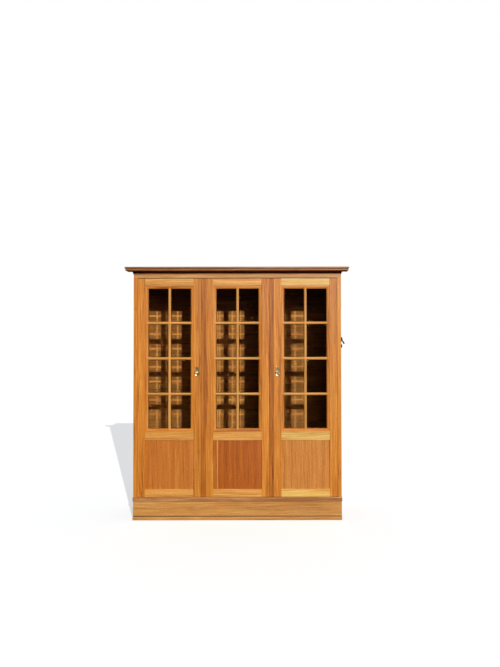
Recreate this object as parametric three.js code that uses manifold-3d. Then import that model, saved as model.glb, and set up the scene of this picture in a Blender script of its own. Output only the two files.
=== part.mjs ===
// A free-standing oak bookcase with three tall glazed doors, built piece by piece.
// Millimetres, +Z up, front towards -Y. The origin is on the floor, under the middle of the
// whole width and the whole depth, cornice included.
import * as THREE from "three";
import { mergeVertices } from "three/addons/utils/BufferGeometryUtils.js";
import Module from "manifold-3d";

const wasm = await Module();
wasm.setup();

// Overall sizes
const HEIGHT = 1890;
const BODY_WIDTH = 1558;
const BODY_DEPTH = 380;
const OVERHANG = 56; // cornice beyond the body, at the front and the two sides
const GAP = 0.3; // between pieces that meet

// Carcass
const BOARD = 28; // sides, partition and top board
const PLINTH_HEIGHT = 137;
const PLINTH_BOARD = 20;
const PLINTH_PROUD = 1;
const SHOE_HEIGHT = 28;
const SHOE_PROUD = 3;
const SHOE_CHAMFER = 4;
const QUIRK = 2; // narrow groove between a board and its moulding
const BASE_THICKNESS = 34;
const BASE_PROUD = 4;
const BASE_ROUND = { proud: 3, height: 5 }; // worn round on the base board's upper arris
const CORNICE_SLAB = 35;
const CORNICE_DEPTH = 90; // front to back, ends included; the top lies open behind it
const CORNICE_REBATE = 2; // shallow rebate in the top board that the cornice stands in
const NECK = 14; // cove between the top board and the cornice slab
const COVE = { start: 3, spread: 9 };
const CORNICE_ARRIS = 2; // broken edge along the top and the bottom of the slab
const FILLET = 10; // flat band under the cornice's hollow
const CORNICE_HOLLOW = { step: 1, height: 14, dip: 5 };
const BACK_THICKNESS = 10;
const SHELF_THICKNESS = 22;
const SHELF_SETBACK = 50; // shelf front edge behind the front plane
const SHELF_PLAY = 1; // beside a loose shelf
const LOOSE_SHELF_HEIGHT = 400;
const STOP = 20; // square section of the battens the doors close against
const STOP_SETBACK = 28.5;

// Doors
const DOOR_THICKNESS = 25;
const DOOR_GAP = 2; // beside a door
const GAP_UNDER = 3;
const GAP_OVER = 5;
const STRIP_WIDTH = 32; // closing strip on the left edge of the middle and the right door
const STRIP_RECESS = 2.5;
const STILE = 57;
const TOP_RAIL = 55;
const BOTTOM_RAIL = 57;
const LOCK_RAIL = 65;
const PANEL_TOP = 594.5; // height of the lock rail's lower edge
const MOULDING = 22; // round the glazing
const BAR = 19;
const BAR_COLUMNS = 2;
const BAR_ROWS = 4;
const LATTICE_RECESS = 4;
const LATTICE_DEPTH = 12;
const GLASS_THICKNESS = 4;
const PANEL_RECESS = 5;
const PANEL_BEVEL = 29;
const PANEL_EDGE = 8;
const PANEL_RAISE = 4; // field in front of the thin side edges
const PANEL_STEP = 1; // sunk step between the field and the sloping margins

// Door pivots: a plate under or over the stile with a pin into the carcass
const PIVOT_INSET = 9; // pin axis from the door's hinge edge
const PIVOT_DEPTH = 6; // pin axis behind the door's front face
const PIVOT_PLATE = { length: 40, width: 16, thickness: 2, side: 7, ahead: 4 }; // side, ahead of the pin
const PIN_RADIUS = 3.5;
const PIN_REACH = 8; // into the board
const HOLE_RADIUS = 3.9;
const HOLE_DEPTH = 10;

// Locks
const LOCK_HEIGHT = 1100;
const LOCK_INSET = 30; // key axis from the edge of the lock stile
const CASE = { half: 29, low: -26, high: 50, depth: 16, wall: 2 };
const BOLT = { low: 7.6, height: 16, front: 30, thickness: 5, tail: -24.5 };
const NOTCH = { centre: -6, half: 2.6, depth: 4.6 };
const MORTISE = { depth: 12, front: 28.5, back: 36.5, low: 5.5, high: 25.5 };
const BATTEN = { inset: 2, depth: 18, low: 190, high: 1780 };
const KEY = { radius: 3, bit: 9, bitThickness: 2, bowHalf: 13, bowLength: 15, bowHole: 7.5 };
const KEY_TURN = -Math.PI / 4; // how the key stands at rest, bolt withdrawn
const KEY_BOW_THICKNESS = 3.5;
const KEY_STANDOFF = 5; // from the key plate to the bow
const COLLAR = { proud: 1.2, near: 1.5, far: 4 };
const BIT_CLEARANCE = 0.5;
const BOLT_CLEARANCE = 0.4;
const KEYHOLE_RADIUS = 4.5;
const KEYHOLE_SLOT = { width: 3.6, drop: 10.5 };
const PLATE = { halfWidth: 19, halfHeight: 26, thickness: 1.6, neck: 11, ear: 6, earHeight: 40 };

// Drop handle on the right side
const HANDLE_SETBACK = 70;
const HANDLE_HEIGHT = 1326;
const HANDLE_PLATE = { width: 26, height: 92, thickness: 3 };
const LUG = { half: 9, reach: 15, low: 20, high: 32 };
const BAIL = { radius: 2.2, pivotOut: 10, pivotUp: 26, half: 13, length: 38, lean: Math.PI / 6 };
const BAIL_ENDS = { gap: 4, corner: 4, foot: 8 }; // gap in the lug, corner radii at the top and the foot
const BAIL_STEPS = 72;
const BAIL_CLEARANCE = 0.4;
const BOSS = { radius: 13, out: 6, down: 25 };

// Levels and planes worked out from the sizes above
const FRONT = -(BODY_DEPTH + OVERHANG) / 2;
const FACE = FRONT + OVERHANG; // front plane of the sides and doors
const REAR = FACE + BODY_DEPTH;
const BASE_TOP = PLINTH_HEIGHT + BASE_THICKNESS;
const CORNICE_BACK = FRONT + CORNICE_DEPTH;
const SLAB_BOTTOM = HEIGHT - CORNICE_SLAB;
const TOP_BOARD_TOP = SLAB_BOTTOM - NECK;
const TOP_BOARD_BOTTOM = TOP_BOARD_TOP - BOARD;
const INSIDE = BODY_WIDTH / 2 - BOARD; // half the width between the sides
const DOOR_BOTTOM = BASE_TOP + GAP_UNDER;
const DOOR_TOP = TOP_BOARD_BOTTOM - GAP_OVER;
const DOOR_WIDTH = (2 * INSIDE - 4 * DOOR_GAP - 2 * STRIP_WIDTH) / 3;
const OPENING = DOOR_WIDTH - 2 * STILE;
const LOCK_RAIL_TOP = PANEL_TOP + LOCK_RAIL;
const TOP_RAIL_BOTTOM = DOOR_TOP - TOP_RAIL;
const RIGHT_STRIP = DOOR_WIDTH / 2 + DOOR_GAP; // left edge of the right door's strip
const PARTITION_LEFT = RIGHT_STRIP + STRIP_WIDTH - DOOR_GAP - BOARD;
const PARTITION_RIGHT = PARTITION_LEFT + BOARD;
const PARTITION_FRONT = FACE + DOOR_THICKNESS + 1;
const SHELF_HEIGHT = (PANEL_TOP + LOCK_RAIL_TOP - SHELF_THICKNESS) / 2;

const finishes = {
  oak: new THREE.MeshStandardMaterial({ color: 0xc98a45, roughness: 0.5 }),
  rail_oak: new THREE.MeshStandardMaterial({ color: 0xdda45a, roughness: 0.5 }),
  panel_oak: new THREE.MeshStandardMaterial({ color: 0xb9712f, roughness: 0.5 }),
  strip_oak: new THREE.MeshStandardMaterial({ color: 0xb06a2c, roughness: 0.5 }),
  plinth_oak: new THREE.MeshStandardMaterial({ color: 0xb98248, roughness: 0.55 }),
  dark_oak: new THREE.MeshStandardMaterial({ color: 0x97602f, roughness: 0.5 }),
  back_board: new THREE.MeshStandardMaterial({ color: 0x8a6238, roughness: 0.7 }),
  inner_board: new THREE.MeshStandardMaterial({ color: 0x7c5230, roughness: 0.65 }),
  glass: new THREE.MeshStandardMaterial({
    color: 0xdfe8e4,
    roughness: 0.05,
    transparent: true,
    opacity: 0.3,
  }),
  brass: new THREE.MeshStandardMaterial({ color: 0xc8a45c, roughness: 0.35, metalness: 1 }),
  steel: new THREE.MeshStandardMaterial({ color: 0x8f8b84, roughness: 0.4, metalness: 1 }),
  iron: new THREE.MeshStandardMaterial({ color: 0x1c1a18, roughness: 0.6, metalness: 0.8 }),
};

// A geometry as a solid that can be joined and cut.
function solidOf(geometry) {
  const bare = new THREE.BufferGeometry();
  bare.setAttribute("position", geometry.getAttribute("position"));
  if (geometry.index) bare.setIndex(geometry.index);
  const merged = mergeVertices(bare, 1e-3);
  const mesh = new wasm.Mesh({
    numProp: 3,
    vertProperties: merged.attributes.position.array,
    triVerts: new Uint32Array(merged.index.array),
  });
  return new wasm.Manifold(mesh);
}

function geometryOf(solid) {
  const mesh = solid.getMesh();
  const geometry = new THREE.BufferGeometry();
  geometry.setAttribute("position", new THREE.BufferAttribute(mesh.vertProperties, 3));
  geometry.setIndex(new THREE.BufferAttribute(mesh.triVerts, 1));
  geometry.computeVertexNormals();
  return geometry;
}

function join(...geometries) {
  return geometryOf(geometries.map(solidOf).reduce((whole, next) => whole.add(next)));
}

function cut(geometry, ...tools) {
  const start = solidOf(geometry);
  return geometryOf(tools.map(solidOf).reduce((rest, tool) => rest.subtract(tool), start));
}

function block([x0, x1], [y0, y1], [z0, z1]) {
  const geometry = new THREE.BoxGeometry(x1 - x0, y1 - y0, z1 - z0);
  return geometry.translate((x0 + x1) / 2, (y0 + y1) / 2, (z0 + z1) / 2);
}

// An upright rod from z0 to z1.
function rod(radius, [x, y], [z0, z1], sides = 24) {
  const geometry = new THREE.CylinderGeometry(radius, radius, z1 - z0, sides);
  return geometry.rotateX(Math.PI / 2).translate(x, y, (z0 + z1) / 2);
}

// A rod from front to back, along Y.
function spindle(radius, [y0, y1], sides = 24) {
  return new THREE.CylinderGeometry(radius, radius, y1 - y0, sides).translate(0, (y0 + y1) / 2, 0);
}

// An outline in X and Z given its thickness from y0 back to y1.
function plate(shape, [y0, y1]) {
  const settings = { depth: y1 - y0, bevelEnabled: false, curveSegments: 16 };
  return new THREE.ExtrudeGeometry(shape, settings).rotateX(Math.PI / 2).translate(0, y1, 0);
}

// Rectangles stacked upwards and skinned: each is { x: [x0, x1], y: [y0, y1], z }.
function stack(levels) {
  const points = [];
  const faces = [];
  for (const { x, y, z } of levels) {
    points.push(x[0], y[0], z, x[1], y[0], z, x[1], y[1], z, x[0], y[1], z);
  }
  for (let level = 0; level < levels.length - 1; level += 1) {
    for (let side = 0; side < 4; side += 1) {
      const a = 4 * level + side;
      const b = 4 * level + ((side + 1) % 4);
      faces.push(a, b, b + 4, a, b + 4, a + 4);
    }
  }
  const last = 4 * (levels.length - 1);
  faces.push(0, 2, 1, 0, 3, 2, last, last + 1, last + 2, last, last + 2, last + 3);
  const geometry = new THREE.BufferGeometry();
  geometry.setAttribute("position", new THREE.Float32BufferAttribute(points, 3));
  geometry.setIndex(faces);
  geometry.computeVertexNormals();
  return geometry;
}

// A board with moulded front and side edges: each step is [distance proud, height].
function mouldedBoard(steps, back) {
  const half = BODY_WIDTH / 2;
  const level = ([proud, z]) => ({ x: [-half - proud, half + proud], y: [FACE - proud, back], z });
  return stack(steps.map(level));
}

// A length of moulded board with its ends sheared to a mitre, outer face towards -Y.
function mouldingRun(profile, length, mitreStart, mitreEnd) {
  const settings = { depth: length, bevelEnabled: false, curveSegments: 6 };
  const geometry = new THREE.ExtrudeGeometry(profile, settings).translate(0, 0, -length / 2);
  const position = geometry.attributes.position;
  for (let i = 0; i < position.count; i += 1) {
    const end = Math.sign(position.getZ(i));
    const mitred = end > 0 ? mitreEnd : mitreStart;
    if (mitred) position.setZ(i, position.getZ(i) + end * position.getX(i));
  }
  const outward = new THREE.Vector3(0, -1, 0);
  const upward = new THREE.Vector3(0, 0, 1);
  const along = new THREE.Vector3(-1, 0, 0);
  return geometry.applyMatrix4(new THREE.Matrix4().makeBasis(outward, upward, along));
}

function piece(parent, name, geometry, finish, position = [0, 0, 0]) {
  const mesh = new THREE.Mesh(geometry, finishes[finish]);
  mesh.name = name;
  mesh.position.set(...position);
  parent.add(mesh);
  return mesh;
}

// A plain board between two corners, with its own centre as its position.
function board(parent, name, [x0, x1], [y0, y1], [z0, z1], finish) {
  const geometry = new THREE.BoxGeometry(x1 - x0, y1 - y0, z1 - z0);
  const centre = [(x0 + x1) / 2, (y0 + y1) / 2, (z0 + z1) / 2];
  return piece(parent, name, geometry, finish, centre);
}

const bookcase = new THREE.Group();

// Where each door stands, which edge its pivots are on, and what it carries.
const doors = [
  { name: "left_door", left: -INSIDE + DOOR_GAP, hinge: "left", strip: false, lock: "right" },
  { name: "middle_door", left: -DOOR_WIDTH / 2, hinge: "right", strip: true, lock: null },
  { name: "right_door", left: RIGHT_STRIP + STRIP_WIDTH, hinge: "right", strip: true, lock: "left" },
];

function pivotAcross(door) {
  return door.hinge === "left" ? PIVOT_INSET : DOOR_WIDTH - PIVOT_INSET;
}

// Blind holes for the pivot pins, from z0 to z1 in the top board or the base board.
function pivotHoles([z0, z1]) {
  return doors.map((door) => {
    return rod(HOLE_RADIUS, [door.left + pivotAcross(door), FACE + PIVOT_DEPTH], [z0, z1]);
  });
}

function mortise(x0, x1, turned) {
  const heights = turned ? [-MORTISE.high, -MORTISE.low] : [MORTISE.low, MORTISE.high];
  return block(
    [x0, x1],
    [FACE + MORTISE.front, FACE + MORTISE.back],
    heights.map((z) => LOCK_HEIGHT + z),
  );
}

function addCarcass(parent) {
  const half = BODY_WIDTH / 2;
  const depth = [FACE, REAR];
  const inner = [BASE_TOP + GAP, TOP_BOARD_BOTTOM - GAP];
  board(parent, "left_side", [-half, -INSIDE], depth, inner, "oak");
  board(parent, "right_side", [INSIDE, half], depth, inner, "oak");

  const backFront = REAR - BACK_THICKNESS;
  board(parent, "back_panel", [-INSIDE + GAP, INSIDE - GAP], [backFront, REAR], inner, "back_board");

  const divider = block([PARTITION_LEFT, PARTITION_RIGHT], [PARTITION_FRONT, backFront - GAP], inner);
  const keeper = mortise(PARTITION_RIGHT - MORTISE.depth, PARTITION_RIGHT + 1, true);
  piece(parent, "partition", cut(divider, keeper), "inner_board");

  const lid = block([-half, half], [FACE - PLINTH_PROUD, REAR], [TOP_BOARD_BOTTOM, TOP_BOARD_TOP]);
  const upperHoles = pivotHoles([TOP_BOARD_BOTTOM - 1, TOP_BOARD_BOTTOM + HOLE_DEPTH]);
  const rebateDepth = [FACE - PLINTH_PROUD - 1, CORNICE_BACK + GAP];
  const rebateHeights = [TOP_BOARD_TOP - CORNICE_REBATE, TOP_BOARD_TOP + 1];
  const rebate = block([-half - 1, half + 1], rebateDepth, rebateHeights);
  piece(parent, "top_board", cut(lid, rebate, ...upperHoles), "oak");

  const { proud, height } = BASE_ROUND;
  const roundTop = [0, 0.5, 1].map((t) => {
    const angle = (t * Math.PI) / 2;
    return [BASE_PROUD - proud * (1 - Math.cos(angle)), BASE_TOP - height * (1 - Math.sin(angle))];
  });
  const baseSteps = [
    [0, PLINTH_HEIGHT + GAP],
    [0, PLINTH_HEIGHT + QUIRK],
    [BASE_PROUD, PLINTH_HEIGHT + 2 * QUIRK],
    ...roundTop,
  ];
  const lowerHoles = pivotHoles([BASE_TOP - HOLE_DEPTH, BASE_TOP + 1]);
  piece(parent, "base_board", cut(mouldedBoard(baseSteps, REAR), ...lowerHoles), "dark_oak");

  addShelves(parent, backFront - GAP);
}

// One fixed shelf behind the lock rails and one loose one below it, in each of the two bays.
function addShelves(parent, back) {
  const bays = [
    { side: "left", x: [-INSIDE + GAP, PARTITION_LEFT - GAP] },
    { side: "right", x: [PARTITION_RIGHT + GAP, INSIDE - GAP] },
  ];
  const y = [FACE + SHELF_SETBACK, back];
  const fixed = [SHELF_HEIGHT, SHELF_HEIGHT + SHELF_THICKNESS];
  const loose = [LOOSE_SHELF_HEIGHT, LOOSE_SHELF_HEIGHT + SHELF_THICKNESS];
  const stopFront = FACE + STOP_SETBACK;
  const stopTop = TOP_BOARD_BOTTOM - GAP;
  const stopHeights = [stopTop - STOP, stopTop];
  for (const { side, x } of bays) {
    const between = [x[0] + SHELF_PLAY, x[1] - SHELF_PLAY];
    board(parent, `${side}_fixed_shelf`, x, y, fixed, "inner_board");
    board(parent, `${side}_loose_shelf`, between, [y[0], back - 2 * SHELF_PLAY], loose, "inner_board");
    board(parent, `${side}_door_stop`, x, [stopFront, stopFront + STOP], stopHeights, "inner_board");
  }
}

// A moulded board along the front that returns a little way round both ends.
function addCornice(parent) {
  const foot = TOP_BOARD_TOP - CORNICE_REBATE + GAP;
  const cove = [0, 0.5, 1].map((t) => {
    return [COVE.start + COVE.spread * t * t, foot + (SLAB_BOTTOM - foot) * t];
  });
  const { step, height, dip } = CORNICE_HOLLOW;
  const hollowBottom = SLAB_BOTTOM + CORNICE_ARRIS + FILLET;
  const hollow = [0, 0.25, 0.5, 0.75, 1].map((t) => {
    return [OVERHANG - step - dip * Math.sin(t * Math.PI), hollowBottom + step + height * t];
  });
  const steps = [
    ...cove,
    [OVERHANG - CORNICE_ARRIS, SLAB_BOTTOM + GAP],
    [OVERHANG, SLAB_BOTTOM + CORNICE_ARRIS],
    [OVERHANG, hollowBottom],
    ...hollow,
    [OVERHANG, hollowBottom + height + 2 * step],
    [OVERHANG, HEIGHT - CORNICE_ARRIS],
    [OVERHANG - CORNICE_ARRIS, HEIGHT],
  ];
  piece(parent, "cornice", mouldedBoard(steps, CORNICE_BACK), "dark_oak");
}

// Four plinth boards: three with a shoe moulding worked on the lower edge, and a plain rear one.
function addPlinth(parent) {
  const profile = new THREE.Shape();
  const top = PLINTH_HEIGHT;
  profile.moveTo(PLINTH_PROUD - PLINTH_BOARD, 0);
  profile.lineTo(SHOE_PROUD, 0);
  profile.lineTo(SHOE_PROUD, SHOE_HEIGHT - SHOE_CHAMFER);
  profile.lineTo(PLINTH_PROUD, SHOE_HEIGHT);
  profile.lineTo(PLINTH_PROUD - QUIRK, SHOE_HEIGHT);
  profile.lineTo(PLINTH_PROUD - QUIRK, SHOE_HEIGHT + QUIRK);
  profile.lineTo(PLINTH_PROUD, SHOE_HEIGHT + QUIRK);
  profile.lineTo(PLINTH_PROUD, top);
  profile.lineTo(PLINTH_PROUD - PLINTH_BOARD, top);
  profile.closePath();

  const frontRun = mouldingRun(profile, BODY_WIDTH - 2 * GAP, true, true);
  piece(parent, "plinth_front", frontRun, "plinth_oak", [0, FACE, 0]);
  for (const [side, sign] of [["left", -1], ["right", 1]]) {
    const sideRun = mouldingRun(profile, BODY_DEPTH - GAP, sign < 0, sign > 0);
    const mesh = piece(parent, `plinth_${side}`, sideRun, "plinth_oak");
    mesh.rotation.z = (sign * Math.PI) / 2;
    mesh.position.set((sign * BODY_WIDTH) / 2, (FACE + REAR + GAP) / 2, 0);
  }
  const reach = BODY_WIDTH / 2 - PLINTH_BOARD + PLINTH_PROUD - GAP;
  const backDepth = [REAR - PLINTH_BOARD, REAR];
  board(parent, "plinth_back", [-reach, reach], backDepth, [0, PLINTH_HEIGHT], "inner_board");
}

// Moulding and glazing bars as one grid with an opening for each pane.
function lattice() {
  const height = TOP_RAIL_BOTTOM - LOCK_RAIL_TOP - 2 * GAP;
  const width = OPENING - 2 * GAP;
  const front = LATTICE_RECESS;
  const back = LATTICE_RECESS + LATTICE_DEPTH;
  const paneWidth = (width - 2 * MOULDING - (BAR_COLUMNS - 1) * BAR) / BAR_COLUMNS;
  const paneHeight = (height - 2 * MOULDING - (BAR_ROWS - 1) * BAR) / BAR_ROWS;
  const panes = [];
  for (let column = 0; column < BAR_COLUMNS; column += 1) {
    for (let row = 0; row < BAR_ROWS; row += 1) {
      const x = MOULDING + column * (paneWidth + BAR);
      const z = MOULDING + row * (paneHeight + BAR);
      panes.push(block([x, x + paneWidth], [front - 1, back + 1], [z, z + paneHeight]));
    }
  }
  return cut(block([0, width], [front, back], [0, height]), ...panes);
}

function rectangle(x0, x1, z0, z1) {
  const corners = [[x0, z0], [x1, z0], [x1, z1], [x0, z1]];
  return new THREE.Shape(corners.map(([x, z]) => new THREE.Vector2(x, z)));
}

// A raised panel: a flat field nearest the front, and sloping margins along its two upright edges.
function fieldedPanel(width, height) {
  const level = (inset, depth) => ({ x: [inset, width - inset], y: [0, height], z: -depth });
  const levels = [
    level(0, PANEL_RECESS + PANEL_RAISE + PANEL_EDGE),
    level(0, PANEL_RECESS + PANEL_RAISE),
    level(PANEL_BEVEL - PANEL_STEP, PANEL_RECESS + PANEL_STEP),
    level(PANEL_BEVEL, PANEL_RECESS),
  ];
  return stack(levels).rotateX(Math.PI / 2);
}

function keyholeTools(depth) {
  const slot = KEYHOLE_SLOT;
  const across = [-slot.width / 2, slot.width / 2];
  return [spindle(KEYHOLE_RADIUS, depth), block(across, depth, [-slot.drop, 0])];
}

function addDoor(parent, door) {
  const group = new THREE.Group();
  group.position.set(door.left, FACE, 0);
  parent.add(group);
  const thick = [0, DOOR_THICKNESS];
  const heights = [DOOR_BOTTOM, DOOR_TOP];
  const across = [STILE + GAP, DOOR_WIDTH - STILE - GAP];

  for (const [side, x0] of [["left", 0], ["right", DOOR_WIDTH - STILE]]) {
    const name = `${door.name}_${side}_stile`;
    const stile = block([x0, x0 + STILE], thick, heights);
    if (door.lock === side) {
      const lockX = side === "left" ? LOCK_INSET : DOOR_WIDTH - LOCK_INSET;
      const tools = keyholeTools([-1, DOOR_THICKNESS + 1]);
      tools.forEach((tool) => tool.translate(lockX, 0, LOCK_HEIGHT));
      piece(group, name, cut(stile, ...tools), "oak");
      addLock(group, door.name, lockX, side === "left");
    } else {
      piece(group, name, stile, "oak");
    }
  }

  board(group, `${door.name}_top_rail`, across, thick, [TOP_RAIL_BOTTOM, DOOR_TOP], "rail_oak");
  board(group, `${door.name}_lock_rail`, across, thick, [PANEL_TOP, LOCK_RAIL_TOP], "rail_oak");
  const bottomRail = [DOOR_BOTTOM, DOOR_BOTTOM + BOTTOM_RAIL];
  board(group, `${door.name}_bottom_rail`, across, thick, bottomRail, "rail_oak");

  piece(group, `${door.name}_glazing_bars`, lattice(), "rail_oak", [across[0], 0, LOCK_RAIL_TOP + GAP]);
  const glassFront = LATTICE_RECESS + LATTICE_DEPTH + GAP;
  const glassDepth = [glassFront, glassFront + GLASS_THICKNESS];
  const glassHeights = [LOCK_RAIL_TOP + GAP, TOP_RAIL_BOTTOM - GAP];
  board(group, `${door.name}_glass`, across, glassDepth, glassHeights, "glass");

  const panelHeight = PANEL_TOP - bottomRail[1] - 2 * GAP;
  const panel = fieldedPanel(across[1] - across[0], panelHeight);
  piece(group, `${door.name}_panel`, panel, "panel_oak", [across[0], 0, bottomRail[1] + GAP]);

  if (door.strip) addClosingStrip(group, door);
  addPivots(group, door);
}

// The middle door's strip also carries a batten that takes the left door's bolt.
function addClosingStrip(group, door) {
  const strip = [-STRIP_WIDTH, -GAP];
  const heights = [DOOR_BOTTOM, DOOR_TOP];
  const face = block(strip, [STRIP_RECESS, DOOR_THICKNESS], heights);
  if (door.lock) {
    piece(group, `${door.name}_closing_strip`, face, "strip_oak");
    return;
  }
  const battenLeft = -STRIP_WIDTH + BATTEN.inset;
  const battenBack = DOOR_THICKNESS + BATTEN.depth;
  const batten = block([battenLeft, -GAP], [DOOR_THICKNESS - 1, battenBack], [BATTEN.low, BATTEN.high]);
  const keeper = mortise(battenLeft - 1, battenLeft + MORTISE.depth - BATTEN.inset, false);
  keeper.translate(0, -FACE, 0);
  piece(group, `${door.name}_closing_strip`, cut(join(face, batten), keeper), "strip_oak");
}

function addPivots(group, door) {
  const x = pivotAcross(door);
  const y = PIVOT_DEPTH;
  const near = PIVOT_PLATE.side;
  const far = PIVOT_PLATE.length - near;
  const across = door.hinge === "left" ? [x - near, x + far] : [x - far, x + near];
  const plateFront = y - PIVOT_PLATE.ahead;
  const depth = [plateFront, plateFront + PIVOT_PLATE.width];
  const top = [DOOR_TOP + GAP, DOOR_TOP + GAP + PIVOT_PLATE.thickness];
  const bottom = [DOOR_BOTTOM - GAP - PIVOT_PLATE.thickness, DOOR_BOTTOM - GAP];
  const upperPin = rod(PIN_RADIUS, [x, y], [top[0] + 1, TOP_BOARD_BOTTOM + PIN_REACH]);
  const lowerPin = rod(PIN_RADIUS, [x, y], [BASE_TOP - PIN_REACH, bottom[1] - 1]);
  piece(group, `${door.name}_top_pivot`, join(block(across, depth, top), upperPin), "brass");
  piece(group, `${door.name}_bottom_pivot`, join(block(across, depth, bottom), lowerPin), "brass");
}

// Bow, stem and bit in one, the bit pointing up.
function keyGeometry() {
  const bow = new THREE.Shape().absellipse(0, 0, KEY.bowHalf, KEY.bowLength, 0, 2 * Math.PI);
  bow.holes.push(new THREE.Path().absellipse(0, 0, KEY.bowHole, KEY.bowHole + 1, 0, 2 * Math.PI, true));
  const bowMiddle = -PLATE.thickness - KEY_STANDOFF - KEY.bowLength;
  const settings = { depth: KEY_BOW_THICKNESS, bevelEnabled: false, curveSegments: 12 };
  const ring = new THREE.ExtrudeGeometry(bow, settings)
    .translate(0, bowMiddle, -KEY_BOW_THICKNESS / 2)
    .rotateY(Math.PI / 2);
  const boltBack = BOLT.front + BOLT.thickness;
  const stem = spindle(KEY.radius, [bowMiddle + KEY.bowLength - KEY.radius, boltBack + 2]);
  const collarDepth = [-PLATE.thickness - COLLAR.far, -PLATE.thickness - COLLAR.near];
  const collar = spindle(KEY.radius + COLLAR.proud, collarDepth);
  const half = KEY.bitThickness / 2;
  const bitDepth = [BOLT.front + BIT_CLEARANCE, boltBack - BIT_CLEARANCE];
  return join(ring, stem, collar, block([-half, half], bitDepth, [0, KEY.bit]));
}

// Sliding bolt with a notch in its lower edge for the key's bit.
function boltGeometry() {
  const { low, height, front, thickness, tail } = BOLT;
  const bar = block([tail, CASE.half], [front, front + thickness], [low, low + height]);
  const notchAcross = [NOTCH.centre - NOTCH.half, NOTCH.centre + NOTCH.half];
  return cut(bar, block(notchAcross, [front - 1, front + thickness + 1], [low - 1, low + NOTCH.depth]));
}

// Open-fronted box screwed to the back of the stile, with a slot where the bolt leaves it.
function caseGeometry() {
  const { half, low, high, depth, wall } = CASE;
  const y = [DOOR_THICKNESS + GAP, DOOR_THICKNESS + GAP + depth];
  const shell = block([-half, half], y, [low, high]);
  const within = [-half + wall, half - wall];
  const hollow = block(within, [y[0] - 1, y[1] - wall], [low + wall, high - wall]);
  const slotDepth = [BOLT.front - BOLT_CLEARANCE, BOLT.front + BOLT.thickness + BOLT_CLEARANCE];
  const slotHeights = [BOLT.low - BOLT_CLEARANCE, BOLT.low + BOLT.height + BOLT_CLEARANCE];
  const slot = block([half - wall - 1, half + 1], slotDepth, slotHeights);
  return cut(shell, hollow, slot);
}

// An oval key plate with a short neck and two small round ears.
function keyPlateGeometry() {
  const depth = [-PLATE.thickness - GAP, -GAP];
  const oval = new THREE.Shape().absellipse(0, 0, PLATE.halfWidth, PLATE.halfHeight, 0, 2 * Math.PI);
  const neck = rectangle(-PLATE.neck, PLATE.neck, 0, PLATE.earHeight);
  const ears = [-1, 1].map((sign) => {
    return new THREE.Shape().absarc(sign * (PLATE.neck - 2), PLATE.earHeight, PLATE.ear, 0, 2 * Math.PI);
  });
  const whole = join(...[oval, neck, ...ears].map((shape) => plate(shape, depth)));
  return cut(whole, ...keyholeTools([depth[0] - 1, depth[1] + 1]));
}

// The right door's lock is the left door's turned half round about its key.
function addLock(group, doorName, x, turned) {
  piece(group, `${doorName}_key_plate`, keyPlateGeometry(), "brass", [x, 0, LOCK_HEIGHT]);
  const lock = new THREE.Group();
  lock.position.set(x, 0, LOCK_HEIGHT);
  lock.rotation.y = turned ? Math.PI : 0;
  group.add(lock);
  piece(lock, `${doorName}_lock_case`, caseGeometry(), "steel");
  piece(lock, `${doorName}_lock_bolt`, boltGeometry(), "brass");
  piece(lock, `${doorName}_key`, keyGeometry(), "brass").rotation.y = KEY_TURN;
}

// Iron plate with a pivot lug and a rounded boss, and the bail that hangs from the lug.
function addSideHandle(parent) {
  const group = new THREE.Group();
  group.position.set(BODY_WIDTH / 2 + GAP, FACE + HANDLE_SETBACK, HANDLE_HEIGHT);
  parent.add(group);
  const { width, height, thickness } = HANDLE_PLATE;
  const straight = height / 2 - width / 2;
  const outline = new THREE.Shape();
  outline.absarc(0, straight, width / 2, 0, Math.PI);
  outline.absarc(0, -straight, width / 2, Math.PI, 2 * Math.PI);
  outline.closePath();
  const back = plate(outline, [-thickness, 0]).rotateZ(Math.PI / 2);
  const lug = block([thickness - 1, LUG.reach], [-LUG.half, LUG.half], [LUG.low, LUG.high]);
  const boss = spindle(BOSS.radius, [-LUG.half, LUG.half]).translate(BOSS.out, 0, -BOSS.down);
  const behind = block([-2 * BOSS.radius, 0], [-width, width], [-height, height]);
  const pivotHole = spindle(BAIL.radius + BAIL_CLEARANCE, [-LUG.half - 1, LUG.half + 1]);
  pivotHole.translate(BAIL.pivotOut, 0, BAIL.pivotUp);
  piece(group, "side_handle_plate", cut(join(back, lug, boss), behind, pivotHole), "iron");
  piece(group, "side_handle_bail", bailGeometry(), "iron");
}

// A round wire bent to a rectangle whose two ends point into the lug from either side.
function bailGeometry() {
  const { half, length } = BAIL;
  const { gap, corner, foot } = BAIL_ENDS;
  const out = Math.sin(BAIL.lean);
  const down = -Math.cos(BAIL.lean);
  const at = (distance, y) => {
    return new THREE.Vector3(BAIL.pivotOut + distance * out, y, BAIL.pivotUp + distance * down);
  };
  const side = (sign) => [
    [at(0, (sign * gap) / 2), at(0, sign * (half - corner))],
    [at(0, sign * (half - corner)), at(0, sign * half), at(corner, sign * half)],
    [at(corner, sign * half), at(length - foot, sign * half)],
    [at(length - foot, sign * half), at(length, sign * half), at(length, sign * (half - foot))],
  ];
  const back = side(1).map((run) => run.toReversed()).toReversed();
  const runs = [...side(-1), [at(length, foot - half), at(length, half - foot)], ...back];
  const route = new THREE.CurvePath();
  for (const run of runs) {
    const straight = run.length === 2;
    route.add(straight ? new THREE.LineCurve3(...run) : new THREE.QuadraticBezierCurve3(...run));
  }
  const section = new THREE.Shape().absarc(0, 0, BAIL.radius, 0, 2 * Math.PI);
  const settings = { steps: BAIL_STEPS, extrudePath: route, curveSegments: 5 };
  return new THREE.ExtrudeGeometry(section, settings);
}

addCarcass(bookcase);
addCornice(bookcase);
addPlinth(bookcase);
doors.forEach((door) => addDoor(bookcase, door));
addSideHandle(bookcase);

export default bookcase;
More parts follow.
